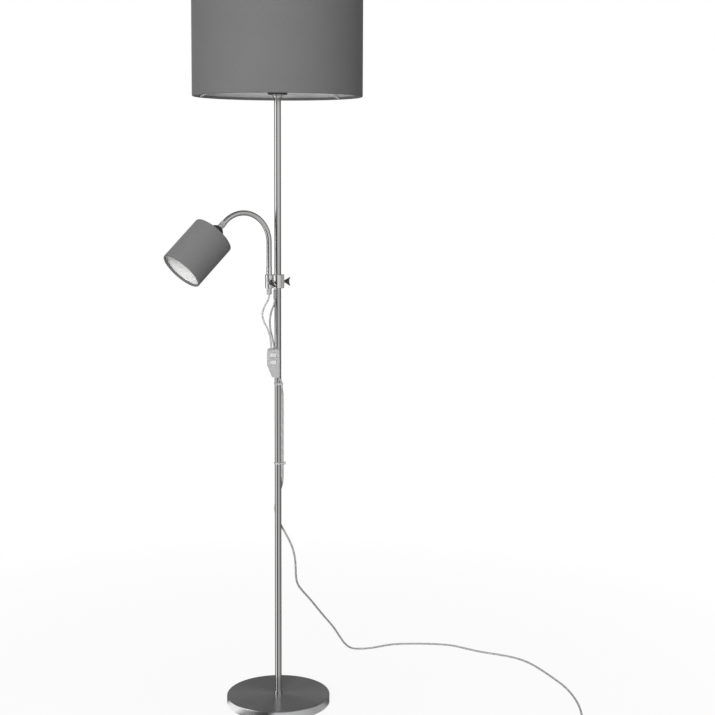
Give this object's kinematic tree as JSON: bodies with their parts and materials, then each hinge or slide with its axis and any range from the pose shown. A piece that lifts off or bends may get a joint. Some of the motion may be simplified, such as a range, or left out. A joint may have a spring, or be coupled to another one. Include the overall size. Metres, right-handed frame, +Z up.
{
  "type": "torchiere floor lamp",
  "caption": "Floor lamp: slim pole on a round weighted base, upright drum shade on top, small drum shade on a clamped gooseneck, in-line switch, lead and plug.",
  "frame": {"origin": "on the floor, on the pole's axis, at the centre of the base's underside", "axes": "+Z up along the pole; -Y towards the viewer; the gooseneck bows to -X and -Y, the lead leaves to +X"},
  "size_m": [1.0035, 0.6836, 1.7113],
  "materials": {
    "nickel_tube": "brushed nickel plate",
    "nickel_cast": "satin nickel plate",
    "gooseneck": "bright nickel, ribbed",
    "iron": "raw",
    "foam": "matte",
    "zinc_steel": "zinc plate",
    "grey_rubber": "matte",
    "clear_rubber": "translucent",
    "black_plastic": "matte",
    "ceramic_white": "glazed",
    "brass": "bright",
    "white_wire": "white enamel",
    "grey_cloth": "plain weave",
    "white_liner": "satin film",
    "nylon": "natural",
    "clear_plastic_sleeve": "satin",
    "clear_switch": "translucent",
    "rocker_grey": "satin",
    "clear_cord": "translucent",
    "tie_nylon": "translucent",
    "clear_plug": "translucent"
  },
  "bodies": {
    "stand": {"base_pad": "foam", "base_weight": "iron", "base_cover": "nickel_tube", "base_nut": "zinc_steel", "base_stud": "zinc_steel", "foot_collar": "nickel_tube", "foot_insert": "zinc_steel", "pole_lower": "nickel_tube", "pole_middle": "nickel_tube", "pole_upper": "nickel_tube", "pole_couplers": "zinc_steel", "pole_grommet": "grey_rubber", "pole_inner_cord": "clear_cord", "pole_top_cup": "nickel_cast", "top_nipple": "zinc_steel", "holder_cap": "black_plastic", "holder_body": "black_plastic", "holder_insulator": "ceramic_white", "holder_sleeve": "brass", "holder_contacts": "brass", "shade_ring_nuts": "black_plastic", "shade_spider": "white_wire", "shade_bottom_ring": "white_wire", "shade_top_ring": "white_wire", "shade_fabric": "grey_cloth", "shade_liner": "white_liner", "switch_back_shell": "clear_switch", "switch_front_shell": "clear_switch", "switch_screws": "zinc_steel", "cord_reading": "clear_cord", "cord_top": "clear_cord", "lead": "clear_cord", "lead_coil": "clear_cord", "cable_ties": "tie_nylon", "plug_body": "clear_plug", "plug_pins": "brass"},
    "slide_bush": {"clamp_bush": "nylon"},
    "clamp": {"clamp_block": "nickel_cast"},
    "pole_knob": {"pole_lock_screw": "zinc_steel", "pole_lock_wing": "black_plastic"},
    "neck_knob": {"neck_lock_screw": "zinc_steel", "neck_lock_wing": "black_plastic"},
    "neck_foot": {"neck_pin": "nickel_cast", "neck_strain_relief": "clear_rubber", "neck_segment_1": "gooseneck"},
    "neck_low": {"neck_segment_2": "gooseneck"},
    "neck_high": {"neck_segment_3": "gooseneck"},
    "reading_head": {"neck_segment_4": "gooseneck", "head_ferrule": "clear_plastic_sleeve", "head_cap": "black_plastic", "reading_holder_body": "black_plastic", "reading_holder_sleeve": "brass", "reading_holder_contact": "brass", "reading_ring_nut": "black_plastic", "reading_shade_carrier": "white_wire", "reading_shade_fabric": "grey_cloth", "reading_shade_liner": "white_liner", "reading_bottom_ring": "white_wire"},
    "top_rocker": {"rocker_top": "rocker_grey"},
    "reading_rocker": {"rocker_reading": "rocker_grey"}
  },
  "joints": [
    {"name": "clamp_slide", "type": "slide", "parent": "stand", "child": "slide_bush", "axis": [0, 0, 1], "range_m": [0, 0.008]},
    {"name": "clamp_swivel", "type": "hinge", "parent": "slide_bush", "child": "clamp", "pos_m": [0, 0, 1.0317], "axis": [0, 0, 1], "range_deg": [-90, 90]},
    {"name": "pole_lock_turn", "type": "hinge", "parent": "clamp", "child": "pole_knob", "pos_m": [0.0163, 0, 1.032], "axis": [1, 0, 0], "range_deg": [0, 360]},
    {"name": "neck_lock_turn", "type": "hinge", "parent": "clamp", "child": "neck_knob", "pos_m": [-0.0205, 0, 1.0285], "axis": [0.3907, -0.9205, 0], "range_deg": [0, 360]},
    {"name": "neck_swivel", "type": "hinge", "parent": "clamp", "child": "neck_foot", "pos_m": [-0.0205, 0, 1.0317], "axis": [0, 0, 1], "range_deg": [-142, 83]},
    {"name": "neck_bend_low", "type": "hinge", "parent": "neck_foot", "child": "neck_low", "pos_m": [-0.02051, -0.00001, 1.12516], "axis": [0.6018, -0.7986, 0], "range_deg": [-12, 9]},
    {"name": "neck_bend_middle", "type": "hinge", "parent": "neck_low", "child": "neck_high", "pos_m": [-0.03982, -0.01456, 1.17738], "axis": [0.6018, -0.7986, 0], "range_deg": [-12, 9]},
    {"name": "neck_bend_high", "type": "hinge", "parent": "neck_high", "child": "reading_head", "pos_m": [-0.0837, -0.04762, 1.19453], "axis": [0.6018, -0.7986, 0], "range_deg": [-12, 9]},
    {"name": "top_rocker_tilt", "type": "hinge", "parent": "stand", "child": "top_rocker", "pos_m": [-0.0084, -0.0268, 0.858], "axis": [1, 0, 0], "range_deg": [0, 16]},
    {"name": "reading_rocker_tilt", "type": "hinge", "parent": "stand", "child": "reading_rocker", "pos_m": [-0.0084, -0.0268, 0.841], "axis": [1, 0, 0], "range_deg": [0, 16]}
  ],
  "couplings": [
    {"joint": "neck_bend_middle", "follows": "neck_bend_low", "ratio": 1},
    {"joint": "neck_bend_high", "follows": "neck_bend_low", "ratio": 1}
  ]
}
